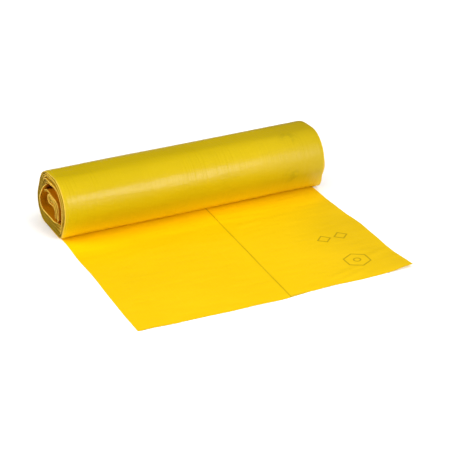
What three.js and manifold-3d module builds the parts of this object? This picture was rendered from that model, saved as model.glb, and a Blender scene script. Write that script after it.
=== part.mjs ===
// A roll of refuse bags with the outermost bag drawn off it and lying flat in front.
//
// The bags are one continuous web of thin film: each bag is folded lengthwise to the width of the
// roll, and a perforated line joins it to the next. The outer turns are wound close and make a
// thick wall, which has slumped flat on the floor. Its outermost turn runs forward under the roll
// and goes on as the flat bag. There is no core tube: the inner turns have come loose, and hang
// from the front of the hollow as a folded tongue.
//
// Millimetres, +X along the roll, +Y towards the back, +Z up. The origin is on the floor, in the
// middle of the whole outline.

import * as THREE from 'three';
import { mergeVertices } from 'three/addons/utils/BufferGeometryUtils.js';
import Module from 'manifold-3d';

const wasm = await Module();
wasm.setup();

// The web
const webWidth = 350;
const webThickness = 0.8; // four layers of film and the air between them

// The flat bag
const flatReach = 226; // from the front of the roll to the torn edge
const tornStep = 4; // how much further the left folded side reaches at the seam
const seamOffset = 15; // the folded sides meet this far to the right of the middle
const seamGap = 1.2;
const seamDepth = 0.4; // the upper layers

// The outside of the roll. Setbacks are measured back from the front of the roll.
const rollHeight = 80;
const rollDepth = 103;
const frontRadius = 34;
const shoulderRadius = 37;
const shoulderSetback = 56;
const shoulderDrop = 1.5; // below the top of the roll
const sagRadius = 25;
const creaseRadius = 14; // where the roll comes down on the flat bag
const creaseSetback = 16;

// The wall of close turns round the hollow
const frontWall = 14;
const topWall = 17;
const backWall = 15;
const bottomWall = 20;
const hollowFrontRadius = 19;
const hollowShoulderRadius = 18;
const hollowShoulderSetback = 55;
const hollowBackRadius = 10;
const hollowToeRadius = 9;
const hollowToeSetback = 16;

// The loose inner turns, a tongue with its root on the front of the wall
const tongueRootRadius = 15;
const tongueRootSink = 2; // into the wall
const tongueNoseRadius = 7.5;
const tongueNoseSetback = 63;
const tongueNoseHeight = 43.5;
const foldSlotWidth = 2; // between the two halves of the tongue
const foldSlotLength = 14;

// The space under the tongue
const coreHeight = 14.5;
const coreFrontSetback = 41;
const coreBackSetback = 85.5;

// The gaps between turns that show on the ends
const turnGaps = 4;
const turnGapWidth = 1;
const endGapDepth = 6;

const roundSegments = 40; // round each full circle
const overrun = 1; // cutters run this far past what they cut

const half = webWidth / 2;
const rollCentreY = (flatReach + tornStep - rollDepth) / 2;

// Shapes in the plane across the roll are drawn round rounds: y back from the front of the roll,
// z up from the floor. The outside and the hollow have theirs in the same order.
const outside = [
  { y: frontRadius, z: rollHeight - frontRadius, radius: frontRadius },
  { y: shoulderSetback, z: rollHeight - shoulderDrop - shoulderRadius, radius: shoulderRadius },
  { y: rollDepth - sagRadius, z: sagRadius, radius: sagRadius },
  { y: creaseSetback + creaseRadius, z: creaseRadius, radius: creaseRadius },
];
const hollowTop = rollHeight - topWall;
const hollowBack = rollDepth - backWall;
const hollow = [
  {
    y: frontWall + hollowFrontRadius,
    z: hollowTop - hollowFrontRadius,
    radius: hollowFrontRadius,
  },
  {
    y: hollowShoulderSetback,
    z: hollowTop - hollowShoulderRadius,
    radius: hollowShoulderRadius,
  },
  {
    y: hollowBack - hollowBackRadius,
    z: bottomWall + hollowBackRadius,
    radius: hollowBackRadius,
  },
  {
    y: hollowToeSetback + hollowToeRadius,
    z: bottomWall + hollowToeRadius,
    radius: hollowToeRadius,
  },
];
const tongueNose = { y: tongueNoseSetback, z: tongueNoseHeight, radius: tongueNoseRadius };
const tongue = [
  {
    y: frontWall - tongueRootSink + tongueRootRadius,
    z: bottomWall + tongueRootRadius,
    radius: tongueRootRadius,
  },
  tongueNose,
];
const foldSlot = [
  { ...tongueNose, radius: foldSlotWidth / 2 },
  { ...tongueNose, y: tongueNose.y - foldSlotLength, radius: foldSlotWidth / 2 },
];
const coreRadius = coreHeight / 2;
const core = [
  { y: coreFrontSetback + coreRadius, z: bottomWall + coreRadius, radius: coreRadius },
  { y: coreBackSetback - coreRadius, z: bottomWall + coreRadius, radius: coreRadius },
];

const yellowFilm = new THREE.MeshStandardMaterial({
  name: 'yellow_film',
  color: 0xfad102,
  roughness: 0.35,
  metalness: 0,
});

// Whether the way from a through b to c bends right or goes straight on.
function bendsRight(a, b, c) {
  return (b.x - a.x) * (c.y - a.y) <= (b.y - a.y) * (c.x - a.x);
}

// The outline of a film drawn round the given rounds: the convex hull of their circles.
function filmOutline(rounds, inset = 0) {
  const points = rounds.flatMap(({ y, z, radius }) => {
    const circle = new THREE.EllipseCurve(y, z, radius - inset, radius - inset);
    return circle.getPoints(roundSegments).slice(1);
  });
  points.sort((a, b) => a.x - b.x || a.y - b.y);
  const halfHull = (ordered) => {
    const hull = [];
    for (const point of ordered) {
      while (hull.length > 1 && bendsRight(hull.at(-2), hull.at(-1), point)) {
        hull.pop();
      }
      hull.push(point);
    }
    return hull.slice(0, -1);
  };
  return [...halfHull(points), ...halfHull([...points].reverse())];
}

// A closed three.js geometry as a solid that can be joined and cut.
function solidOf(geometry) {
  geometry.deleteAttribute('normal');
  geometry.deleteAttribute('uv');
  const merged = mergeVertices(geometry);
  return new wasm.Manifold(
    new wasm.Mesh({
      numProp: 3,
      vertProperties: merged.attributes.position.array,
      triVerts: Uint32Array.from(merged.index.array),
    }),
  );
}

// An outline in the plane across the roll, carried along X from one place to another.
function alongRoll(outline, fromX, toX) {
  const geometry = new THREE.ExtrudeGeometry(new THREE.Shape(outline), {
    depth: toX - fromX,
    bevelEnabled: false,
  });
  const acrossRoll = new THREE.Matrix4().makeBasis(
    new THREE.Vector3(0, 1, 0),
    new THREE.Vector3(0, 0, 1),
    new THREE.Vector3(1, 0, 0),
  );
  return solidOf(geometry.applyMatrix4(acrossRoll).translate(fromX, 0, 0));
}

// The rounds of a turn part of the way from the outside of the roll to its hollow.
function turnBetween(share) {
  return outside.map((round, i) => ({
    y: THREE.MathUtils.lerp(round.y, hollow[i].y, share),
    z: THREE.MathUtils.lerp(round.z, hollow[i].z, share),
    radius: THREE.MathUtils.lerp(round.radius, hollow[i].radius, share),
  }));
}

// What is cut out of one end: the gaps between turns, and the fold in the tongue.
function endGaps(fromX, toX) {
  let gaps = alongRoll(filmOutline(foldSlot), fromX, toX);
  for (let i = 1; i <= turnGaps; i += 1) {
    const turn = turnBetween(i / (turnGaps + 1));
    const gap = alongRoll(filmOutline(turn), fromX, toX).subtract(
      alongRoll(filmOutline(turn, turnGapWidth), fromX - overrun, toX + overrun),
    );
    gaps = gaps.add(gap);
  }
  return gaps;
}

// The wound turns: the wall, the hollow right through it, and the tongue inside.
function woundTurns() {
  const [cutFrom, cutTo] = [-half - overrun, half + overrun];
  const wall = alongRoll(filmOutline(outside), -half, half).subtract(
    alongRoll(filmOutline(hollow), cutFrom, cutTo),
  );
  const loose = alongRoll(filmOutline(tongue), -half, half).subtract(
    alongRoll(filmOutline(core), cutFrom, cutTo),
  );
  return wall
    .add(loose)
    .subtract(endGaps(cutFrom, -half + endGapDepth))
    .subtract(endGaps(half - endGapDepth, cutTo));
}

// The flat bag, from under the back of the roll forward to its torn edge. Its two upper layers
// are the bag's sides folded over, and their edges meet at the seam.
function flatBag() {
  const backEdge = rollDepth - sagRadius;
  const outline = new THREE.Shape([
    new THREE.Vector2(-half, -flatReach),
    new THREE.Vector2(seamOffset, -flatReach - tornStep),
    new THREE.Vector2(seamOffset, -flatReach),
    new THREE.Vector2(half, -flatReach),
    new THREE.Vector2(half, backEdge),
    new THREE.Vector2(-half, backEdge),
  ]);
  const layers = new THREE.ExtrudeGeometry(outline, { depth: webThickness, bevelEnabled: false });
  const seamFront = -flatReach - tornStep - overrun;
  const seamLength = creaseSetback - seamFront;
  const seamHeight = seamDepth + overrun;
  const seam = new THREE.BoxGeometry(seamGap, seamLength, seamHeight).translate(
    seamOffset,
    seamFront + seamLength / 2,
    webThickness - seamDepth + seamHeight / 2,
  );
  return solidOf(layers).subtract(solidOf(seam));
}

function bagRoll() {
  const mesh = woundTurns().add(flatBag()).getMesh();
  const geometry = new THREE.BufferGeometry();
  geometry.setAttribute('position', new THREE.BufferAttribute(mesh.vertProperties, 3));
  geometry.setIndex(new THREE.BufferAttribute(mesh.triVerts, 1));
  geometry.computeVertexNormals();
  const roll = new THREE.Mesh(geometry, yellowFilm);
  roll.name = 'bag_roll';
  roll.position.y = rollCentreY;
  return roll;
}

const garbageBagRoll = new THREE.Group();
garbageBagRoll.name = 'garbage_bag_roll';
garbageBagRoll.add(bagRoll());

export default garbageBagRoll;
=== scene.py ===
"""A roll of yellow refuse bags, loosely wound, with its outermost bag drawn off and lying flat.

The web of folded film is followed from its torn edge backwards: along the floor, under the roll,
and round and round to the loose turns in the hollow. Lengths are metres, +X runs along the roll,
+Y to the back and +Z up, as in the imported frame.
"""

import logging
import math
from dataclasses import dataclass, field
from enum import Enum
from typing import Callable, Union

import bpy
import numpy as np
from mathutils import Matrix, Vector


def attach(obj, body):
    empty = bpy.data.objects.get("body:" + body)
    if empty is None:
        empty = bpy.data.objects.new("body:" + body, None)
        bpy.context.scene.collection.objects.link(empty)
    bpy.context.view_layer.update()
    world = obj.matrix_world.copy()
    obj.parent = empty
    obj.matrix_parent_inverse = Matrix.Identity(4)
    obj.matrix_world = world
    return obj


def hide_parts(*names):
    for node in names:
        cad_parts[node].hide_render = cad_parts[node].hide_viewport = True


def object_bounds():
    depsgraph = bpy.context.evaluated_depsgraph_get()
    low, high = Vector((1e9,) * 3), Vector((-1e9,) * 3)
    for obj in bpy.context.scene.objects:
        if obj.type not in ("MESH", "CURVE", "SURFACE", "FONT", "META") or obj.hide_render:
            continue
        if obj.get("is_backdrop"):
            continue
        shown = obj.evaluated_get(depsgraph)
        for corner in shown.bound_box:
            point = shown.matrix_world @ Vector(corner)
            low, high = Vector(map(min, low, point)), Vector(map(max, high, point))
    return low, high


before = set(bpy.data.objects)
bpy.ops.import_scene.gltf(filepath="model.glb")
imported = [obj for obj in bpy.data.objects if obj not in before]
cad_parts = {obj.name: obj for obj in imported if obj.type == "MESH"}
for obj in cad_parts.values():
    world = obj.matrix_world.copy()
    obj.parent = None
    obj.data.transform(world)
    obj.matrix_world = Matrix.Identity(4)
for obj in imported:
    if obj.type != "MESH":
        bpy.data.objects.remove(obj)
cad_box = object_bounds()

logging.basicConfig(level=logging.INFO, format="%(levelname)s %(message)s")
log = logging.getLogger("bag_roll")

MM = 0.001
TURN = 2 * math.pi
NODE = "bag_roll"
BODY = "root"

# Socket numbers of a Mix node that is set to colour
MIX_FACTOR, MIX_BASE, MIX_OVER, MIX_RESULT = 0, 6, 7, 2

Colour = tuple[float, float, float]
Number = Union[float, np.ndarray]
Link = Union["Sock", float, tuple[float, ...]]


class Blend(Enum):
    """How one colour is laid on another."""

    MIX = "MIX"
    MULTIPLY = "MULTIPLY"


class Side(Enum):
    """The two ends of the roll, as signs of X."""

    LEFT = -1
    RIGHT = 1


# Shader maths


@dataclass(frozen=True)
class Sock:
    """A number or vector socket in a node tree, so that shader maths reads as Python."""

    tree: bpy.types.NodeTree
    socket: bpy.types.NodeSocket

    def _maths(self, operation: str, *values: Link) -> "Sock":
        """One Math node on the given values."""
        return Shader(self.tree).node(
            "ShaderNodeMath", {"operation": operation}, dict(enumerate(values))
        )

    def __add__(self, other: Link) -> "Sock":
        """self + other."""
        return self._maths("ADD", self, other)

    __radd__ = __add__

    def __mul__(self, other: Link) -> "Sock":
        """self * other."""
        return self._maths("MULTIPLY", self, other)

    __rmul__ = __mul__

    def __sub__(self, other: Link) -> "Sock":
        """self - other."""
        return self._maths("SUBTRACT", self, other)

    def __rsub__(self, other: Link) -> "Sock":
        """other - self."""
        return self._maths("SUBTRACT", other, self)

    def __abs__(self) -> "Sock":
        """The value without its sign."""
        return self._maths("ABSOLUTE", self)

    def atleast(self, other: Link) -> "Sock":
        """The larger of the two."""
        return self._maths("MAXIMUM", self, other)

    def ramp(self, low: float, high: float) -> "Sock":
        """A smooth step from 0 at low to 1 at high, or down where low is above high."""
        start, end = (0.0, 1.0) if low < high else (1.0, 0.0)
        return Shader(self.tree).node(
            "ShaderNodeMapRange",
            {"interpolation_type": "SMOOTHSTEP"},
            {
                "Value": self,
                "From Min": min(low, high),
                "From Max": max(low, high),
                "To Min": start,
                "To Max": end,
            },
        )


@dataclass(frozen=True)
class Shader:
    """A node tree with one way of adding nodes to it."""

    tree: bpy.types.NodeTree

    def feed(self, socket: bpy.types.NodeSocket, value: Link) -> None:
        """Links a socket, or sets its own value, with alpha 1 where that is a colour."""
        if isinstance(value, Sock):
            self.tree.links.new(value.socket, socket)
        else:
            socket.default_value = (*value, 1.0) if socket.type == "RGBA" else value

    def node(
        self,
        kind: str,
        settings: dict[str, object],
        inputs: dict[Union[str, int], Link],
        output: Union[str, int] = 0,
    ) -> Sock:
        """Adds a node.

        Args:
            kind: the node's type.
            settings: its own properties, set before its sockets.
            inputs: values or links, by socket name or number.
            output: which of its outputs to hand back.

        Returns:
            The chosen output.
        """
        made = self.tree.nodes.new(kind)
        for name, value in settings.items():
            setattr(made, name, value)
        for key, value in inputs.items():
            self.feed(made.inputs[key], value)
        return Sock(self.tree, made.outputs[output])

    def colour(self, base: Link, over: Link, factor: Link, blend: Blend = Blend.MIX) -> Sock:
        """Lays one colour over another.

        Args:
            base: the colour below.
            over: the colour on top.
            factor: how much of it shows.
            blend: how it is laid on.

        Returns:
            The mixed colour.
        """
        return self.node(
            "ShaderNodeMix",
            {"data_type": "RGBA", "blend_type": blend.value},
            {MIX_FACTOR: factor, MIX_BASE: base, MIX_OVER: over},
            MIX_RESULT,
        )

    def vector(self, operation: str, first: Link, second: Link, output: str = "Vector") -> Sock:
        """One Vector Math node on two vectors."""
        return self.node(
            "ShaderNodeVectorMath", {"operation": operation}, {0: first, 1: second}, output
        )

    def attribute(self, name: str) -> tuple[Sock, Sock, Sock, Sock]:
        """A vector kept on the mesh, whole and then as its three numbers."""
        whole = self.node("ShaderNodeAttribute", {"attribute_name": name}, {}, "Vector")
        parts = self.node("ShaderNodeSeparateXYZ", {}, {0: whole}).socket.node.outputs
        return whole, *(Sock(self.tree, part) for part in parts)

    def noise(self, place: Sock, scale: tuple[float, float, float], detail: float = 2.0) -> Sock:
        """Noise stretched by a scale along each direction.

        Args:
            place: the vector it is read at.
            scale: cycles a metre in each direction.
            detail: octaves.

        Returns:
            A number about 0.5.
        """
        stretched = self.vector("MULTIPLY", place, scale)
        return self.node(
            "ShaderNodeTexNoise",
            {"noise_dimensions": "3D"},
            {"Vector": stretched, "Scale": 1.0, "Detail": detail, "Roughness": 0.55},
            0,
        )


# Geometry on arrays


def smooth(value: Number, low: float, high: float) -> Number:
    """A smooth step from 0 at low to 1 at high."""
    t = np.clip((value - low) / (high - low), 0.0, 1.0)
    return t * t * (3 - 2 * t)


def swell(value: Number, middle: float, width: float) -> Number:
    """A smooth bump, 1 in its middle and dying away over a width on both sides."""
    return np.exp(-(((value - middle) / width) ** 2))


@dataclass(frozen=True)
class Waves:
    """A smooth seeded function of two coordinates, of about unit size.

    Args:
        seed: what the phases are drawn from.
        lengths: the longest and the shortest wavelength along the first coordinate.
        stretch: how much longer the waves are along the second one.
        count: how many waves are added.
    """

    seed: int
    lengths: tuple[float, float]
    stretch: float = 1.0
    count: int = 9

    def __call__(self, first: Number, second: Number = 0.0) -> Number:
        """The function's value at each pair of coordinates."""
        draw = np.random.default_rng(self.seed)
        total = 0.0 * (first + second)
        for _ in range(self.count):
            length = self.lengths[1] * (self.lengths[0] / self.lengths[1]) ** draw.random()
            tilt, phase = draw.uniform(-1, 1), draw.uniform(0, TURN)
            total = total + np.sin(TURN * (first + tilt * second / self.stretch) / length + phase)
        return total * math.sqrt(2 / self.count)


@dataclass(frozen=True)
class Round:
    """A circle in the plane across the roll: y back from its front, z up from the floor."""

    y: float
    z: float
    radius: float


@dataclass
class Section:
    """The roll's section, from its outside at share 0 to the edge of its hollow at share 1.

    A film drawn round four rounds gives each outline, and it is softened a little, because real
    film bends evenly.
    """

    outside: tuple[Round, ...] = (
        Round(34 * MM, 46 * MM, 34 * MM),
        Round(56 * MM, 41.5 * MM, 37 * MM),
        Round(78 * MM, 25 * MM, 25 * MM),
        Round(30 * MM, 14 * MM, 14 * MM),
    )
    hollow: tuple[Round, ...] = (
        Round(33 * MM, 44 * MM, 19 * MM),
        Round(55 * MM, 45 * MM, 18 * MM),
        Round(78 * MM, 30 * MM, 10 * MM),
        Round(25 * MM, 29 * MM, 9 * MM),
    )
    centre: tuple[float, float] = (50 * MM, 38 * MM)
    softening: float = math.radians(5)
    shares: int = 25
    angles: int = 1080
    table: np.ndarray = field(init=False)

    def __post_init__(self) -> None:
        """Works out the distance from the centre for each share and direction."""
        angle = np.arange(self.angles) * TURN / self.angles
        facing = np.stack([np.cos(angle), np.sin(angle)])
        reach = facing.T @ facing
        turned = np.minimum(angle, TURN - angle)
        kernel = np.exp(-0.5 * (turned / self.softening) ** 2)
        kernel = np.fft.rfft(kernel / kernel.sum())
        rows = []
        for share in np.linspace(0, 1, self.shares):
            support = np.full(self.angles, -1.0)
            for a, b in zip(self.outside, self.hollow):
                y = a.y + share * (b.y - a.y) - self.centre[0]
                z = a.z + share * (b.z - a.z) - self.centre[1]
                radius = a.radius + share * (b.radius - a.radius)
                support = np.maximum(support, y * facing[0] + z * facing[1] + radius)
            with np.errstate(divide="ignore"):
                distance = np.where(reach > 1e-3, support[:, None] / reach, np.inf).min(axis=0)
            rows.append(np.fft.irfft(np.fft.rfft(distance) * kernel, self.angles))
        self.table = np.array(rows)

    def floor(self, share: Number) -> Number:
        """How low a turn lies at a share."""
        low = [min(r.z - r.radius for r in rounds) for rounds in (self.outside, self.hollow)]
        return low[0] + share * (low[1] - low[0])

    def point(self, angle: Number, share: Number) -> tuple[Number, Number]:
        """A point of the section.

        Args:
            angle: direction from the centre, 0 to the back and a quarter turn up.
            share: from the outside at 0 to the hollow at 1.

        Returns:
            Its y and z, y from the front of the roll.
        """
        column = np.mod(angle, TURN) * self.angles / TURN
        row = np.clip(share, 0, 1) * (self.shares - 1)
        c0, r0 = np.floor(column).astype(int), np.floor(row).astype(int)
        r1 = np.minimum(r0 + 1, self.shares - 1)
        c0, c1 = c0 % self.angles, (c0 + 1) % self.angles
        u, v = column - np.floor(column), row - r0
        distance = (1 - v) * ((1 - u) * self.table[r0, c0] + u * self.table[r0, c1])
        distance = distance + v * ((1 - u) * self.table[r1, c0] + u * self.table[r1, c1])
        y = self.centre[0] + distance * np.cos(angle)
        z = self.centre[1] + distance * np.sin(angle)
        return y, np.maximum(z, self.floor(share))


Place = Callable[[Number, Number], tuple[Number, Number]]


@dataclass
class Film:
    """Film swept along its own path: a closed loop of rails, each across the web by some x and
    out of the path by some offset, carried from station to station and closed at both ends.

    Args:
        name: the piece's name.
        place: gives y and z of the film's outer face for a length along it and an x.
        stations: lengths along the path.
        across: x of each rail at each station.
        inward: offset of each rail from the outer face, towards the inside of the roll.
        along: the length from the torn edge that each station stands for.
        depth: 0 flat on the floor, 1 on the outermost turn, 1.8 in the hollow.
        rim: how brightly the folded edge of each station catches the light.
        probe: half the distance over which the slope of the path is measured.
        sharp: the angle above which an edge isn't smoothed over.
    """

    name: str
    place: Place
    stations: np.ndarray
    across: np.ndarray
    inward: np.ndarray
    along: np.ndarray
    depth: np.ndarray
    rim: np.ndarray
    probe: float = 0.25 * MM
    sharp: float = math.radians(50)

    def points(self) -> np.ndarray:
        """Every vertex, station by station."""
        p, x, h = self.stations[:, None] + 0 * self.across, self.across, self.probe
        y, z = self.place(p, x)
        ahead, behind = self.place(p + h, x), self.place(p - h, x)
        right, left = self.place(p, x + h), self.place(p, x - h)
        step = np.stack([0 * x, ahead[0] - behind[0], ahead[1] - behind[1]], axis=-1)
        cross = np.stack([2 * h + 0 * x, right[0] - left[0], right[1] - left[1]], axis=-1)
        normal = np.cross(cross, step)
        normal /= np.linalg.norm(normal, axis=-1, keepdims=True)
        return np.stack([x, y, z], axis=-1) + normal * self.inward[..., None]

    def marks(self) -> dict[str, np.ndarray]:
        """What each vertex knows of its place on the web, by attribute.

        Returns:
            Under "web": x, length from the torn edge and depth. Under "edge": distance from its
            own nearer end, the rim's brightness, and a nil that fills the vector.
        """
        x, rail = self.across, 0 * self.across
        near = np.minimum(x - x.min(axis=1, keepdims=True), x.max(axis=1, keepdims=True) - x)
        web = [x, self.along[:, None] + rail, self.depth[:, None] + rail]
        edge = [near, self.rim[:, None] + rail, rail]
        return {"web": np.stack(web, axis=-1), "edge": np.stack(edge, axis=-1)}

    def build(self) -> bpy.types.Object:
        """Makes the mesh object."""
        count, rails = self.across.shape
        first = np.arange(rails)
        second = (first + 1) % rails
        row = (np.arange(count - 1) * rails)[:, None]
        quads = [row + first, row + rails + first, row + rails + second, row + second]
        faces = np.stack(quads, axis=-1).reshape(-1, 4).tolist()
        faces.append(first.tolist())
        faces.append((first[::-1] + (count - 1) * rails).tolist())
        mesh = bpy.data.meshes.new(self.name)
        mesh.from_pydata(self.points().reshape(-1, 3).tolist(), [], faces)
        mesh.update()
        for name, values in self.marks().items():
            kept = mesh.attributes.new(name, "FLOAT_VECTOR", "POINT")
            kept.data.foreach_set("vector", values.astype(np.float32).ravel())
        mesh.shade_smooth()
        mesh.set_sharp_from_angle(angle=self.sharp)
        made = bpy.data.objects.new(self.name, mesh)
        bpy.context.scene.collection.objects.link(made)
        return made


def across_stations(pitch: float) -> np.ndarray:
    """Places across the web, from 0 to 1, close together near both edges.

    Args:
        pitch: the spacing in the middle, as a share of the width.

    Returns:
        The places in order.
    """
    near = np.array([0.0, 0.0035, 0.007, 0.0105, 0.014, 0.018, 0.022, 0.027, 0.033, 0.04])
    middle = np.linspace(near[-1], 1 - near[-1], round((1 - 2 * near[-1]) / pitch) + 1)
    return np.concatenate([near[:-1], middle, 1 - near[-2::-1]])


@dataclass(frozen=True)
class FoldedSection:
    """The section of one turn: thin film, a little fatter where its ends are folded.

    Args:
        thickness: of the film.
        fold: thickness at the folds.
        reach: how far in the fatter part dies away.
        depths: how far in from each end the rails lie, in millimetres.
    """

    thickness: float
    fold: Number
    reach: float = 3 * MM
    depths: tuple[float, ...] = (0.6, 1.3, 2.4, 4.2, 7.5, 14.0, 28.0, 65.0)

    def rails(self, left: np.ndarray, right: np.ndarray) -> tuple[np.ndarray, np.ndarray]:
        """x and inward offset of every rail, for columns of the x of both ends."""
        inset = np.array(self.depths) * MM
        nose = np.radians([-50.0, 0.0, 50.0])
        radius = self.fold / 2 + 0 * left
        puff = swell(inset, 0.0, self.reach)
        thick = self.thickness + (2 * radius - self.thickness) * puff
        x = [left + inset, right - inset[::-1], right - radius * (1 - np.cos(nose))]
        x += [right - inset, left + inset[::-1], left + radius * (1 - np.cos(nose))]
        offset = [0 * thick, 0 * thick, radius * (1 + np.sin(nose))]
        offset += [thick, thick[:, ::-1], radius * (1 + np.sin(nose[::-1]))]
        return np.concatenate(x, axis=1), np.concatenate(offset, axis=1)


# The pieces


@dataclass(frozen=True)
class Crease:
    """A faint fold raised on the flat bag, from one point to another.

    Args:
        start: x and y of one end.
        end: x and y of the other.
        height: how high it stands.
        width: how far to its sides it dies away.
        fade: between which shares of its length it rises at either end.
    """

    start: tuple[float, float]
    end: tuple[float, float]
    height: float
    width: float = 2.4 * MM
    fade: tuple[float, float] = (-0.2, 0.3)

    def lift(self, x: Number, y: Number) -> Number:
        """How far it lifts the film at a point of the floor."""
        a, b = np.array(self.start), np.array(self.end)
        length = np.linalg.norm(b - a)
        way = (b - a) / length
        t = (x - a[0]) * way[0] + (y - a[1]) * way[1]
        side = (y - a[1]) * way[0] - (x - a[0]) * way[1]
        low, high = self.fade
        rise = smooth(t, low * length, high * length)
        fall = smooth(t, (1 - low) * length, (1 - high) * length)
        return self.height * (rise * fall) * swell(side, 0.0, self.width)


@dataclass(frozen=True)
class Seam:
    """Where the folded sides meet, as x for a length from the torn edge."""

    start: float = 14.8 * MM
    lean: float = 0.025

    def at(self, along: Union[Number, Sock]) -> Union[Number, Sock]:
        """Its x."""
        return along * self.lean + self.start


@dataclass(frozen=True)
class LiftSizes:
    """How high parts of the flat bag stand off the floor, and how far in each one reaches."""

    free: tuple[float, float] = (14 * MM, -25 * MM)
    broad: float = 0.30 * MM
    fine: float = 0.05 * MM
    side: float = 0.6 * MM
    side_reach: float = 30 * MM
    corner: float = 3.2 * MM
    corner_reach: float = 26 * MM
    hem: float = 0.10 * MM
    hem_reach: float = 16 * MM


@dataclass(frozen=True)
class TornSizes:
    """How far the torn edge reaches out on its left part, draws back at its corners and waves."""

    left: float = 0.6 * MM
    slant: float = 3.4 * MM
    right_corner: float = 1.2 * MM
    left_corner: float = 1.6 * MM
    wave: float = 0.35 * MM
    tooth: float = 0.18 * MM
    tooth_pitch: float = 7.3 * MM


@dataclass(frozen=True)
class EdgeSizes:
    """How far the web's edges lie in from the roll's ends, by y, and flare out, by degrees round."""

    left: float = 2.6 * MM
    left_wave: float = 0.4 * MM
    right: float = 4.6 * MM
    widening: float = 5.1 * MM
    widening_y: tuple[float, float] = (45 * MM, -40 * MM)
    splay: float = 1.2 * MM
    splay_y: tuple[float, float] = (-80 * MM, -150 * MM)
    right_wave: float = 0.35 * MM
    flare: float = 2.6 * MM
    flare_middle: float = 222
    flare_width: float = 20
    tuck: float = 3.6 * MM
    tuck_angles: tuple[float, float] = (236, 262)


@dataclass(frozen=True)
class ReliefSizes:
    """The outermost turn's waves, its ridges near both ends, its lips and its low flare.

    Each ridge is its distance from the end and its height, in millimetres.
    """

    lengthwise: float = 0.07 * MM
    round: float = 0.12 * MM
    fine: float = 0.035 * MM
    ridges: tuple[tuple[float, float], ...] = ((4.2, 0.26), (7.2, 0.16), (11.5, 0.22), (16.0, 0.10))
    ridge_width: float = 1.3 * MM
    lip: float = 0.6 * MM
    lip_reach: float = 5 * MM
    flare: float = 1.8 * MM
    flare_middle: float = 225
    flare_width: float = 22
    flare_reach: tuple[float, float] = (9 * MM, 1 * MM)


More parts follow.
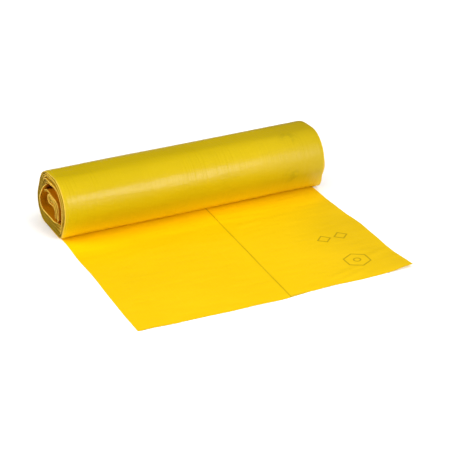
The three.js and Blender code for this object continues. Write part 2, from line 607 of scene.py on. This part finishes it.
@dataclass
class BagWeb:
    """The web of bags: its sizes, and where its outermost turn and the flat bag lie."""

    section: Section = field(default_factory=Section)
    seam: Seam = field(default_factory=Seam)
    lifts: LiftSizes = field(default_factory=LiftSizes)
    tear: TornSizes = field(default_factory=TornSizes)
    edges: EdgeSizes = field(default_factory=EdgeSizes)
    reliefs: ReliefSizes = field(default_factory=ReliefSizes)
    depth: float = 103 * MM
    ragged: float = 4 * MM
    half: float = cad_box[1][0]
    front: float = cad_box[1][1] - depth
    torn: float = cad_box[0][1] + ragged
    leaving: float = 0.6
    touch: float = math.radians(-75)
    turns: int = 20
    mean_radius: float = 46 * MM
    creases: tuple[Crease, ...] = (
        Crease((0.022, 0.049), (0.078, 0.0445), 0.7 * MM),
        Crease((0.030, 0.024), (0.072, 0.033), 0.65 * MM),
        Crease((0.078, -0.144), (0.126, -0.131), 0.9 * MM),
        Crease((0.082, -0.156), (0.128, -0.140), 0.8 * MM),
        Crease((0.144, -0.113), (0.168, -0.106), 0.8 * MM),
        Crease((-0.150, 0.052), (-0.045, 0.058), 0.3 * MM, 4 * MM),
        Crease((-0.120, 0.012), (-0.020, 0.024), 0.25 * MM, 4 * MM),
        Crease((-0.090, -0.060), (-0.060, -0.120), 0.25 * MM, 5 * MM),
    )

    @property
    def touch_y(self) -> float:
        """Where the outermost turn leaves the floor at the back, as y in the row frame."""
        return self.front + float(self.section.point(self.touch, 0.0)[0])

    @property
    def flat(self) -> float:
        """Length of web from the torn edge to where the outermost turn leaves the floor."""
        return self.touch_y - self.torn

    @property
    def turn(self) -> float:
        """Length of web in the outermost turn."""
        return TURN * self.mean_radius

    def lift(self, x: Number, y: Number) -> Number:
        """How far the flat bag stands off the floor.

        Args:
            x: across.
            y: in the row frame.

        Returns:
            The height of its under side.
        """
        sizes = self.lifts
        free = smooth(y, self.front + sizes.free[0], self.front + sizes.free[1])
        broad = Waves(11, (0.16, 0.06), 1.5)(x, y)
        fine = Waves(12, (0.034, 0.016), 3.0)(y, x)
        lift = sizes.broad * np.maximum(broad, 0) + sizes.fine * (1 + fine)
        side = smooth(x, self.half - sizes.side_reach, self.half)
        lift = lift + side * sizes.side * (0.7 + 0.6 * Waves(13, (0.11, 0.05))(y))
        corner = np.hypot(x - self.half, y - self.torn)
        lift = lift + sizes.corner * swell(corner, 0.0, sizes.corner_reach)
        hem = smooth(y, self.torn + sizes.hem_reach, self.torn - self.ragged)
        lift = lift + hem * sizes.hem * (1 + Waves(14, (0.12, 0.04))(x))
        for crease in self.creases:
            lift = lift + crease.lift(x, y)
        return free * np.maximum(lift, 0)

    def torn_edge(self, x: Number) -> Number:
        """How far the torn edge reaches past its nominal line, towards the front.

        Args:
            x: across.

        Returns:
            A length.
        """
        u, sizes = x / self.half, self.tear
        left = np.where(x < self.seam.start, 1.0, 0.0)
        reach = left * (sizes.left + sizes.slant * smooth(u, -1.0, -0.1))
        reach = reach - sizes.right_corner * smooth(u, 0.8, 1.0)
        reach = reach - sizes.left_corner * smooth(u, -0.985, -1.0)
        teeth = sizes.tooth * np.sin(TURN * x / sizes.tooth_pitch)
        return reach + sizes.wave * Waves(15, (0.09, 0.02))(x) + teeth

    def edge(self, side: Side, y: Number, turned: Number) -> Number:
        """x of one edge of the web.

        Args:
            side: which edge.
            y: in the row frame, where the web is flat.
            turned: angle round the roll from where the web leaves the floor, below 0 on the floor.

        Returns:
            Its x at each station.
        """
        flat, sizes = smooth(turned, self.leaving, 0.0), self.edges
        if side is Side.LEFT:
            forward = smooth(y, self.front, self.torn)
            inset = sizes.left * (1 - forward) - sizes.left_wave * Waves(16, (0.2, 0.07))(y)
            flare = 0.0
        else:
            inset = sizes.right - sizes.widening * smooth(y, *sizes.widening_y)
            inset = inset - sizes.splay * smooth(y, *sizes.splay_y)
            inset = inset - sizes.right_wave * Waves(17, (0.13, 0.05))(y)
            angle = np.degrees(self.touch + turned)
            flare = sizes.flare * swell(angle, sizes.flare_middle, sizes.flare_width)
            flare = flare - sizes.tuck * smooth(angle, *sizes.tuck_angles)
        return side.value * (self.half - inset * flat + flare)

    def place(self, p: Number, x: Number) -> tuple[Number, Number]:
        """The outer face of the flat bag and the outermost turn.

        Args:
            p: length from where the web leaves the floor, negative on the flat bag.
            x: across.

        Returns:
            y and z in the row frame.
        """
        turned = np.maximum(p, 0) / self.mean_radius
        y, z = self.section.point(self.touch + turned, turned / TURN / self.turns)
        near = smooth(-p, self.flat - 45 * MM, self.flat)
        flat_y = self.touch_y + p - near * self.torn_edge(x)
        on_roll = smooth(turned, 0.0, self.leaving)
        y = np.where(p > 0, self.front + y, flat_y)
        relief = self.relief(turned, x) * on_roll
        angle = self.touch + turned
        z = np.where(p > 0, z, self.lift(x, flat_y))
        return y + relief * np.cos(angle), z + relief * np.sin(angle)

    def relief(self, turned: Number, x: Number) -> Number:
        """How far the outermost turn stands out: shallow waves, and ridges near both ends.

        Args:
            turned: angle round the roll from where the web leaves the floor.
            x: across.

        Returns:
            The height of the relief.
        """
        sizes = self.reliefs
        end = self.half - np.abs(x)
        s = turned * self.mean_radius
        waves = sizes.lengthwise * Waves(21, (0.30, 0.10), 0.05)(x, s)
        waves = waves + sizes.round * (1 + Waves(22, (0.20, 0.08), 2.0)(s, x))
        fine = sizes.fine * Waves(24, (0.022, 0.008), 0.12, 12)(x, s)
        strength = 0.7 + 0.5 * Waves(23, (0.16, 0.06))(s)
        ridges = 0.0 * end
        for depth, height in sizes.ridges:
            ridges = ridges + height * MM * swell(end, depth * MM, sizes.ridge_width)
        lip = -sizes.lip * smooth(end, sizes.lip_reach, 0.0)
        low = swell(np.degrees(self.touch + turned), sizes.flare_middle, sizes.flare_width)
        inner, outer = sizes.flare_reach
        flare = sizes.flare * low * smooth(x, self.half - inner, self.half + outer)
        return waves + fine + ridges * strength + lip + flare


@dataclass
class DrawnBag:
    """The outermost bag: flat on the floor, then once round the roll.

    It is a flattened tube of film whose sides are folded over to the seam, so its section is a
    flat C of an outer layer and two folded sides, each two films thick.
    """

    web: BagWeb
    layer: float = 0.09 * MM
    air: float = 0.03 * MM
    seam_gap: float = 1.2 * MM
    flat_puff: float = 0.12 * MM
    roll_puff: float = 0.62 * MM
    puff_reach: float = 3.5 * MM
    curl: float = 0.14 * MM
    curl_reach: float = 7 * MM
    hem: tuple[float, ...] = (0.0, 0.8, 1.8, 3.0, 5.0)
    flat_start: float = 8 * MM
    flat_steps: int = 78
    turn_steps: int = 86

    def rails(self, stations: np.ndarray) -> tuple[np.ndarray, np.ndarray]:
        """x and inward offset of every rail at every station.

        Args:
            stations: lengths along the web.

        Returns:
            The two arrays, station by rail.
        """
        web, t = self.web, self.layer
        y = web.touch_y + np.minimum(stations, 0)
        turned = stations / web.mean_radius
        left, right = (web.edge(side, y, turned)[:, None] for side in Side)
        seam = web.seam.at(stations + web.flat)[:, None]
        wound = smooth(turned, -0.2, 0.8)[:, None]
        puff = self.flat_puff + (self.roll_puff - self.flat_puff) * wound
        curl = self.curl * (1 - 0.5 * wound) * (0.7 + 0.5 * Waves(31, (0.14, 0.05))(y)[:, None])
        radius = (2 * t + self.air + puff) / 2
        whole, half = across_stations(1 / 100), across_stations(1 / 50)
        nose = np.radians([-60.0, 0.0, 60.0])
        parts: list[tuple[np.ndarray, np.ndarray]] = []

        def base(start: Number, end: Number, inward: float) -> None:
            """Adds one face of the outer layer."""
            x = start + (end - start) * whole
            parts.append((x, inward + 0 * x))

        def side(start: Number, end: Number, below: float) -> None:
            """Adds one face of a folded side, puffed at its fold and curled up at the seam."""
            x = start + (end - start) * half
            fold = np.minimum(x - left, right - x) - radius
            top = 2 * t + self.air + puff * swell(np.maximum(fold, 0), 0.0, self.puff_reach)
            parts.append((x, top - below + curl * np.exp(-np.abs(x - seam) / self.curl_reach)))

        def fold(centre: Number, way: Side, size: Number, angles: np.ndarray) -> None:
            """Adds the round of a fold."""
            x = centre + way.value * size * np.cos(angles)
            parts.append((x, radius + size * np.sin(angles)))

        low, high, gap = left + radius, right - radius, self.seam_gap / 2
        base(low, high, 0.0)
        fold(high, Side.RIGHT, radius, nose)
        side(high, seam + gap, 0.0)
        side(seam + gap, high, t)
        fold(high, Side.RIGHT, radius - t, nose[::-1])
        base(high, low, t)
        fold(low, Side.LEFT, radius - t, nose)
        side(low, seam - gap, t)
        side(seam - gap, low, 0.0)
        fold(low, Side.LEFT, radius, nose[::-1])
        return tuple(np.concatenate(part, axis=1) for part in zip(*parts))

    def build(self) -> bpy.types.Object:
        """Makes the piece."""
        web = self.web
        hem = np.array(self.hem) * MM - web.flat
        flat = np.linspace(self.flat_start - web.flat, 0, self.flat_steps)
        turn = np.linspace(0, web.turn, self.turn_steps + 1)[1:]
        stations = np.concatenate([hem, flat, turn])
        across, inward = self.rails(stations)
        film = Film(
            name="drawn_bag",
            place=web.place,
            stations=stations,
            across=across,
            inward=inward,
            along=stations + web.flat,
            depth=smooth(stations, -10 * MM, 60 * MM),
            rim=0.62 + 0 * stations,
        )
        return film.build()


@dataclass
class WoundTurns:
    """The close turns of the wall, from the second one in to the edge of the hollow."""

    web: BagWeb
    thickness: float = 0.24 * MM
    fold: float = 0.42 * MM
    steps: int = 96
    first: float = 0.985
    bright_turn: float = 11.6
    bright_width: float = 0.45
    unevenness: float = 0.22
    clumping: float = 0.20
    slack: float = 0.40
    gap_outside: float = 0.75
    gap_standing: float = 0.7
    flutter: float = 0.08
    flutter_reach: float = 26 * MM
    inset: float = 0.5 * MM
    under: float = 1.4 * MM
    inner: float = 1.3 * MM
    standing_out: float = 1.9 * MM
    lining_out: float = 3.0 * MM
    standing_fold: float = 0.35 * MM
    lining_fold: float = 0.75 * MM

    def upper(self, wound: Number) -> Number:
        """1 over the top and the front of the roll, 0 at its back and underneath."""
        facing = np.cos(self.web.touch + wound * TURN - math.radians(135))
        return smooth(facing, -0.25, 0.25)

    def lining(self, wound: Number) -> Number:
        """1 on the last turn, where it lines the hollow at the back and underneath."""
        return (1 - self.upper(wound)) * smooth(wound, self.web.turns - 1.15, self.web.turns - 0.9)

    def standing(self, wound: Number) -> Number:
        """1 on the turn whose edge stands out in the wall over the top and the front."""
        return self.upper(wound) * swell(wound, self.bright_turn, self.bright_width)

    def share(self, wound: Number) -> Number:
        """How deep in the wall a point of the spiral lies.

        Args:
            wound: turns from where the web leaves the floor.

        Returns:
            The share from the outside at 0 to the hollow at 1.
        """
        last = self.web.turns
        free = smooth(wound, 1.5, 3.5) * smooth(wound, last, last - 1.5)
        noise = self.unevenness * Waves(41, (0.9, 0.22))(wound)
        clumps = self.clumping * np.sin(TURN * (wound / 3.3 + 0.16 * np.sin(TURN * wound + 0.8)))
        slack = self.slack * smooth(wound, 1.0, 1.3) * smooth(wound, 12.0, 4.0)
        behind_outside = self.gap_outside * smooth(wound, 0.9, 1.5) * smooth(wound, 8.0, 3.0)
        b = self.bright_turn
        behind_standing = self.gap_standing * smooth(wound, b - 5, b - 0.9)
        behind_standing = behind_standing * smooth(wound, b - 0.4, b - 0.8)
        gaps = self.upper(wound) * (behind_outside - behind_standing)
        return (wound + free * (noise + clumps) + slack + gaps) / last

    def place(self, p: Number, x: Number) -> tuple[Number, Number]:
        """The outer face of the spiral, p and x as for the web."""
        web = self.web
        wound = p / web.turn
        end = smooth(np.abs(x), web.half - self.flutter_reach, web.half)
        flutter = self.flutter * end * Waves(42, (0.30, 0.10), 0.02)(wound, x)
        y, z = web.section.point(web.touch + wound * TURN, self.share(wound) + flutter / web.turns)
        return web.front + y, z

    def edge(self, side: Side, wound: np.ndarray) -> np.ndarray:
        """x of one end of the spiral: each turn lies a little in or out of its neighbours.

        Args:
            side: which end.
            wound: turns from where the web leaves the floor.

        Returns:
            Its x at each station.
        """
        seed = 43 if side is Side.LEFT else 44
        upper = self.upper(wound)
        loose = (0.25 + 0.75 * upper) * MM * Waves(seed, (1.6, 0.3))(wound)
        under = self.under * upper * smooth(wound, 2.2, 1.6)
        inner = self.inner * upper * smooth(wound, self.bright_turn + 0.5, self.bright_turn + 0.9)
        inset = self.inset + loose + under + inner
        inset = inset - self.standing_out * self.standing(wound)
        inset = inset - self.lining_out * self.lining(wound)
        return side.value * (self.web.half - inset)

    def rim(self, wound: np.ndarray) -> np.ndarray:
        """How brightly each turn's edge catches the light."""
        upper, grain = self.upper(wound), Waves(45, (1.3, 0.25))(wound)
        packed = 0.05 + 0.05 * grain + upper * (0.52 + 0.24 * grain)
        packed = packed * smooth(wound, 1.4, 2.6) * (1 - 0.6 * upper * smooth(wound, 17.5, 19.2))
        return np.clip(packed + 0.95 * self.standing(wound) + self.lining(wound), 0, 1)

    def build(self) -> bpy.types.Object:
        """Makes the piece."""
        web = self.web
        wound = np.linspace(self.first, web.turns, round((web.turns - self.first) * self.steps))
        left, right = (self.edge(side, wound)[:, None] for side in Side)
        fold = self.fold + self.standing_fold * self.standing(wound)
        fold = fold + self.lining_fold * self.lining(wound)
        across, inward = FoldedSection(self.thickness, fold[:, None]).rails(left, right)
        film = Film(
            name="wound_turns",
            place=self.place,
            stations=wound * web.turn,
            across=across,
            inward=inward,
            along=web.flat + wound * web.turn,
            depth=1 + 0.7 * wound / web.turns,
            rim=self.rim(wound),
        )
        return film.build()


@dataclass(frozen=True)
class Slump:
    """Loose turns that follow one line across the hollow, each inside the one before.

    Args:
        name: what the turns are called.
        line: y from the front of the roll and z, in millimetres.
        turns: how many there are.
        pitch: the distance from one to the next.
        rims: how brightly the edges of the first and the last catch the light.
        recess: how far the first one's ends lie in from the ends of the roll.
    """

    name: str
    line: tuple[tuple[float, float], ...]
    turns: int
    pitch: float
    rims: tuple[float, float]
    recess: float

    def curve(self, inset: float) -> np.ndarray:
        """A smooth line through the points, moved to its right-hand side by an inset."""
        p = np.array(self.line) * MM
        padded = np.vstack([2 * p[0] - p[1], p, 2 * p[-1] - p[-2]])
        t = np.linspace(0, 1, 24, endpoint=False)[:, None]
        pieces = []
        for a, b, c, d in zip(padded, padded[1:], padded[2:], padded[3:]):
            rise, bend = c - a, 2 * a - 5 * b + 4 * c - d
            pieces.append(b + 0.5 * (rise * t + bend * t**2 + (3 * b - a - 3 * c + d) * t**3))
        line = np.vstack([*pieces, p[-1:]])
        way = np.gradient(line, axis=0)
        way /= np.linalg.norm(way, axis=1, keepdims=True)
        return line + inset * np.stack([way[:, 1], -way[:, 0]], axis=1)


@dataclass
class LooseTurns:
    """The innermost turns, which have slumped into the hollow as a folded tongue."""

    web: BagWeb
    thickness: float = 0.26 * MM
    slumps: tuple[Slump, ...] = (
        Slump(
            "hanging_turn",
            (
                (34.0, 21.0), (30.6, 25.0), (29.2, 30.5), (29.0, 36.0), (29.8, 40.8), (32.4, 45.0),
                (37.0, 47.6), (45.0, 48.6), (53.0, 50.0), (60.0, 51.2), (66.0, 50.6), (72.0, 48.4),
                (77.5, 45.6),
            ),
            turns=3,
            pitch=1.05 * MM,
            rims=(1.0, 0.45),
            recess=0.6 * MM,
        ),
        Slump(
            "tongue_turn",
            (
                (33.6, 24.5), (33.4, 31.0), (33.8, 37.5), (36.4, 42.8), (42.0, 44.6), (50.0, 45.2),
                (58.0, 46.0), (63.6, 45.6), (67.4, 42.6), (67.6, 38.6), (64.8, 36.0), (59.5, 35.7),
                (53.5, 37.2), (48.0, 37.6), (43.8, 35.6), (41.4, 32.0), (40.7, 27.0), (40.6, 22.0),
            ),
            turns=5,
            pitch=1.0 * MM,
            rims=(0.9, 0.30),
            recess=1.2 * MM,
        ),
    )
    flutter: float = 0.22 * MM
    flutter_reach: float = 22 * MM
    step: float = 1.2 * MM
    trim: float = 0.3 * MM
    stagger: float = 0.5 * MM
    unevenness: float = 0.8 * MM
    folds: tuple[float, float] = (0.75, 0.25)

    def ribbon(self, slump: Slump, number: int, seed: int) -> Film:
        """One loose turn.

        Args:
            slump: the turns it belongs to.
            number: which of them it is.
            seed: what its own waves are drawn from.

        Returns:
            The film, not yet built.
        """
        web, line = self.web, slump.curve(number * slump.pitch)
        gone = np.concatenate([[0], np.cumsum(np.linalg.norm(np.diff(line, axis=0), axis=1))])
        bend = Waves(60, (0.06, 0.025), 0.6)

        def place(p: Number, x: Number) -> tuple[Number, Number]:
            """The line, which flutters near its ends."""
            end = smooth(np.abs(x), web.half - self.flutter_reach, web.half)
            y, z = np.interp(p, gone, line[:, 0]), np.interp(p, gone, line[:, 1])
            shake = self.flutter * end * bend(p, x)
            return web.front + y + shake, z + 0.6 * shake

        stations = np.linspace(self.trim, gone[-1] - self.trim, round(gone[-1] / self.step))
        wave = Waves(80 + seed, (0.09, 0.04))(stations)[:, None]
        inset = slump.recess + self.stagger * number + self.unevenness * wave
        first, last = slump.rims
        rim = first + (last - first) * number / (slump.turns - 1)
        fattest, thinning = self.folds
        fold = (fattest - thinning * number / (slump.turns - 1)) * MM
        across, inward = FoldedSection(self.thickness, fold).rails(-web.half + inset, web.half - inset)
        return Film(
            name=f"{slump.name}_{number + 1}",
            place=place,
            stations=stations,
            across=across,
            inward=inward,
            along=web.flat + web.turns * web.turn + stations,
            depth=1.8 + 0 * stations,
            rim=rim + 0.1 * wave[:, 0],
        )

    def build(self) -> list[bpy.types.Object]:
        """Makes every loose turn."""
        made: list[bpy.types.Object] = []
        for slump in self.slumps:
            for number in range(slump.turns):
                made.append(self.ribbon(slump, number, len(made)).build())
        return made


# Finishes


@dataclass(frozen=True)
class PrintedMarks:
    """Plain outlines printed in thin ink on the flat bag: two diamonds, and a ring in a hexagon.

    Places are x across the web and the length from the torn edge.
    """

    diamonds: tuple[tuple[float, float], ...] = ((0.1155, 0.1115), (0.1385, 0.1125))
    diamond_reach: float = 8.6 * MM
    hexagon: tuple[float, float] = (0.1265, 0.0465)
    across_flats: float = 14.2 * MM
    ring: float = 4.2 * MM
    stroke: float = 1.25 * MM

    def line(self, distance: Sock) -> Sock:
        """A soft-edged line where a distance is nil."""
        return abs(distance).ramp(self.stroke, self.stroke * 0.3)

    def mask(self, shader: Shader, web: tuple[Sock, Sock, Sock, Sock]) -> Sock:
        """Where the ink lies.

        Args:
            shader: the node tree.
            web: place on the web, whole and as its three numbers.

        Returns:
            1 on the ink, 0 off it.
        """
        place, across, along, depth = web
        level = shader.vector("MULTIPLY", place, (1.0, 1.0, 0.0))
        offset = shader.vector("SUBTRACT", level, (*self.hexagon, 0.0))
        sides = [
            abs(shader.vector("DOT_PRODUCT", offset, (math.cos(a), math.sin(a), 0.0), "Value"))
            for a in np.arange(3) * TURN / 6
        ]
        total = self.line(sides[0].atleast(sides[1]).atleast(sides[2]) - self.across_flats)
        centre = shader.vector("LENGTH", offset, (0.0, 0.0, 0.0), "Value")
        total = total.atleast(self.line(centre - self.ring))
        for x, length in self.diamonds:
            away = abs(across - x) + abs(along - length) - self.diamond_reach
            total = total.atleast(self.line(away * math.sqrt(0.5)))
        return total * depth.ramp(0.02, 0.0)


@dataclass(frozen=True)
class FilmFinish:
    """Thin yellow polyethylene film: painted brighter where one bag lies on the floor, deeper on the
    roll, and painted orange in the hollow, standing in for light that comes only through film; painted
    bounce light lies near the crease, and painted highlight and shade on the roll's end edges."""

    seam: Seam
    name: str = "yellow_film"
    # painted light: the flat bag's colour is brighter than the roll's, standing in for light that
    # comes back through the single film off the pale floor; the roll's deeper colour is partly the
    # stacked film's own colour, partly painted shade
    flat: Colour = (0.775, 0.500, 0.0008)
    # painted bounce light: brighter, more orange film near the crease and on the roll's lower front,
    # standing in for light bounced between the yellow films there
    painted_crease_glow: Colour = (0.98, 0.610, 0.0008)
    wound: Colour = (0.520, 0.370, 0.0008)
    # painted bounce light: deep orange for the inner turns and the hollow, standing in for light that
    # has passed through and bounced between yellow films
    inner: Colour = (0.60, 0.205, 0.0012)
    through: Colour = (0.95, 0.62, 0.001)
    smudge: Colour = (0.36, 0.27, 0.0012)
    # painted shade and painted highlight for the roll's end edges: dark olive where light is trapped
    # between packed edges, pale where an edge catches the light
    painted_shade_edge: Colour = (0.34, 0.215, 0.002)
    painted_highlight_edge: Colour = (0.90, 0.600, 0.080)
    # the print's ink colour, also laid along the seam as its dark line and painted shade
    ink: Colour = (0.26, 0.170, 0.002)
    roughness: float = 0.33
    specular: float = 0.24
    glow: float = 0.12
    # where the painted bounce light sets in near the crease, and where it lies on the roll's lower
    # front before the second turn
    crease: tuple[float, float] = (0.192, 0.228)
    painted_glow_underside: tuple[float, float] = (0.492, 0.552)
    second_turn: tuple[float, float] = (0.600, 0.575)
    smudges: tuple[tuple[float, float], ...] = ((0.134, 0.445), (0.130, 0.495))
    smudge_radii: tuple[float, float] = (0.016, 0.004)
    smudge_strength: float = 0.55
    rim_width: tuple[float, float] = (1.8 * MM, 0.4 * MM)
    seam_width: tuple[float, float] = (1.1 * MM, 0.5 * MM)
    seam_strength: float = 0.45
    ink_strength: float = 0.72
    bump: float = 0.0005
    marks: PrintedMarks = field(default_factory=PrintedMarks)

    def colour(self, shader: Shader, grain: Sock) -> Sock:
        """The film's colour.

        Args:
            shader: the node tree.
            grain: cloudy noise about 0.5.

        Returns:
            The colour.
        """
        web = shader.attribute("web")
        place, across, along, depth = web
        _, near, rim, _ = shader.attribute("edge")
        wound = depth.ramp(0.0, 1.0)
        # painted bounce light: the flat bag turns to the brighter orange colour from the crease on,
        # and the roll's lower front keeps it instead of the roll's colour
        below = along.ramp(*self.painted_glow_underside) * along.ramp(*self.second_turn)
        colour = shader.colour(self.flat, self.painted_crease_glow, along.ramp(*self.crease))
        # painted shade: the roll takes the deeper colour, the flat bag keeps the brighter one
        colour = shader.colour(colour, self.wound, wound * (1 - below))
        # painted bounce light: the deeper the turn, the more of the hollow's orange
        colour = shader.colour(colour, self.inner, depth.ramp(1.0, 1.8))
        level = shader.vector("MULTIPLY", place, (1.0, 1.0, 0.0))
        patchy = shader.noise(place, (110.0, 110.0, 3.0)).ramp(0.42, 0.60)
        for x, length in self.smudges:
            away = shader.vector("DISTANCE", level, (x, length, 0.0), "Value")
            stain = away.ramp(*self.smudge_radii) * patchy * self.smudge_strength
            colour = shader.colour(colour, self.smudge, stain)
        tone = (grain - 0.5) * 0.14 + 1.0 - across.ramp(0.06, 0.17) * 0.11
        grey = shader.node("ShaderNodeCombineXYZ", {}, {0: tone, 1: tone, 2: tone})
        colour = shader.colour(colour, grey, 1.0, Blend.MULTIPLY)
        # painted rim light: near the roll's ends the colour runs from the painted shade to the painted
        # highlight by each edge's rim value
        edge = shader.colour(self.painted_shade_edge, self.painted_highlight_edge, rim)
        colour = shader.colour(colour, edge, near.ramp(*self.rim_width) * wound)
        # the seam is darkened in the ink colour: partly the folded edges' own dark line, partly
        # painted shade in the gap between them
        seam = abs(across - self.seam.at(along)).ramp(*self.seam_width) * depth.ramp(0.3, 0.0)
        ink = self.marks.mask(shader, web) * self.ink_strength
        return shader.colour(colour, self.ink, ink.atleast(seam * self.seam_strength))

    def material(self) -> bpy.types.Material:
        """Makes the material."""
        made = bpy.data.materials.new(self.name)
        made.use_nodes = True
        tree = made.node_tree
        tree.nodes.clear()
        shader = Shader(tree)
        place, across, _, depth = shader.attribute("web")
        streaks = shader.noise(place, (300.0, 12.0, 3.0), 3.0)
        ripples = shader.noise(place, (22.0, 95.0, 3.0), 3.0)
        cloud = shader.noise(place, (9.0, 12.0, 1.0), 2.0)
        height = (streaks - 0.5) * (depth.ramp(0.0, 1.0) * 1.2 + 0.15) + (ripples - 0.5) * 1.2
        bump = shader.node(
            "ShaderNodeBump", {}, {"Height": height, "Strength": 1.0, "Distance": self.bump}, "Normal"
        )
        _, near, _, _ = shader.attribute("edge")
        dull = across.ramp(0.0, 0.17) * 0.14 + near.ramp(*self.rim_width) * 0.35
        skin = shader.node(
            "ShaderNodeBsdfPrincipled",
            {},
            {
                "Base Color": self.colour(shader, cloud),
                "Roughness": (cloud - 0.5) * 0.10 + (streaks - 0.5) * 0.16 + dull + self.roughness,
                "Specular IOR Level": self.specular,
                "IOR": 1.5,
                "Normal": bump,
            },
        )
        through = shader.node("ShaderNodeBsdfTranslucent", {}, {"Color": self.through})
        mixed = shader.node("ShaderNodeMixShader", {}, {0: self.glow, 1: skin, 2: through})
        output = tree.nodes.new("ShaderNodeOutputMaterial")
        tree.links.new(mixed.socket, output.inputs["Surface"])
        return made


@dataclass(frozen=True)
class FloorFinish:
    """Plain pale studio floor."""

    name: str = "studio_floor"
    colour: Colour = (0.96, 0.96, 0.955)
    roughness: float = 0.9
    specular: float = 0.1

    def material(self) -> bpy.types.Material:
        """Makes the material."""
        made = bpy.data.materials.new(self.name)
        made.use_nodes = True
        skin = made.node_tree.nodes["Principled BSDF"]
        skin.inputs["Base Color"].default_value = (*self.colour, 1.0)
        skin.inputs["Roughness"].default_value = self.roughness
        skin.inputs["Specular IOR Level"].default_value = self.specular
        return made


# Studio


def direction(azimuth: float, elevation: float) -> Vector:
    """The unit vector out from the roll, by degrees round from its front and degrees up."""
    a, e = math.radians(azimuth), math.radians(elevation)
    return Vector((math.sin(a) * math.cos(e), -math.cos(a) * math.cos(e), math.sin(e)))


@dataclass(frozen=True)
class Softbox:
    """A square area light aimed at the roll."""

    name: str
    azimuth: float
    elevation: float
    distance: float
    size: float
    power: float
    gloss: bool

    def build(self) -> None:
        """Makes the light."""
        facing = direction(self.azimuth, self.elevation)
        light = bpy.data.lights.new(self.name, "AREA")
        light.shape = "SQUARE"
        light.size = self.size
        light.energy = self.power
        made = bpy.data.objects.new(self.name, light)
        made.visible_glossy = self.gloss
        turned = facing.to_track_quat("Z", "Y").to_matrix().to_4x4()
        made.matrix_world = Matrix.Translation(facing * self.distance) @ turned
        bpy.context.scene.collection.objects.link(made)


@dataclass(frozen=True)
class Camera:
    """The photograph's viewpoint, as angles about the point that it looks at."""

    azimuth: float = -24.118
    elevation: float = 26.368
    roll: float = -0.904
    distance: float = 2.4225
    target: tuple[float, float, float] = (0.0238, 0.0355, 0.0)
    lens: float = 156.08

    def build(self) -> None:
        """Makes the camera and looks through it."""
        back, r = direction(self.azimuth, self.elevation), math.radians(self.roll)
        right = Vector((0, 0, 1)).cross(back).normalized()
        up = back.cross(right)
        x = math.cos(r) * right + math.sin(r) * up
        y = math.cos(r) * up - math.sin(r) * right
        data = bpy.data.cameras.new("photo_camera")
        data.sensor_width = 36.0
        data.lens = self.lens
        data.clip_end = 60.0
        made = bpy.data.objects.new("photo_camera", data)
        turned = Matrix((x, y, back)).transposed().to_4x4()
        made.matrix_world = Matrix.Translation(Vector(self.target) + back * self.distance) @ turned
        bpy.context.scene.collection.objects.link(made)
        bpy.context.scene.camera = made


@dataclass(frozen=True)
class Studio:
    """A pale floor, soft lights and an even sky."""

    floor_radius: float = 9.0
    sky: float = 0.44
    lights: tuple[Softbox, ...] = (
        Softbox("overhead_softbox", 10, 80, 3.0, 3.2, 52, False),
        Softbox("front_softbox", 18, 25, 1.9, 1.0, 34, True),
        Softbox("left_softbox", -100, 32, 2.4, 1.6, 34, False),
    )

    def build(self) -> None:
        """Makes the floor, the sky and the lights."""
        mesh = bpy.data.meshes.new("studio_floor")
        r = self.floor_radius
        mesh.from_pydata([(-r, -r, 0), (r, -r, 0), (r, r, 0), (-r, r, 0)], [], [(0, 1, 2, 3)])
        mesh.materials.append(FloorFinish().material())
        floor = bpy.data.objects.new("studio_floor", mesh)
        bpy.context.scene.collection.objects.link(floor)
        floor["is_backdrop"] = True
        world = bpy.data.worlds.new("studio_sky")
        world.use_nodes = True
        sky = world.node_tree.nodes["Background"]
        sky.inputs["Color"].default_value = (1.0, 1.0, 1.0, 1.0)
        sky.inputs["Strength"].default_value = self.sky
        world.cycles_visibility.glossy = False
        bpy.context.scene.world = world
        for light in self.lights:
            light.build()
        bpy.context.scene.view_settings.view_transform = "Standard"


def dress(piece: bpy.types.Object, finish: bpy.types.Material) -> None:
    """Gives a piece its finish and its place in the row.

    Args:
        piece: the piece.
        finish: its material.
    """
    piece.data.materials.append(finish)
    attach(piece, BODY)
    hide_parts(NODE)
    log.info("%s: %d faces", piece.name, len(piece.data.polygons))


def main() -> None:
    """Builds the roll, the drawn bag and the studio, and reports each piece."""
    web = BagWeb()
    finish = FilmFinish(web.seam).material()
    bag = DrawnBag(web).build()
    for piece in (bag, WoundTurns(web).build(), *LooseTurns(web).build()):
        dress(piece, finish)
    web.flat + web.turn
    Studio().build()
    Camera().build()
    sizes = {"cad": cad_box, "visual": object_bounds()}
    {name: [list(corner) for corner in box] for name, box in sizes.items()}


if __name__ == "__main__":
    main()
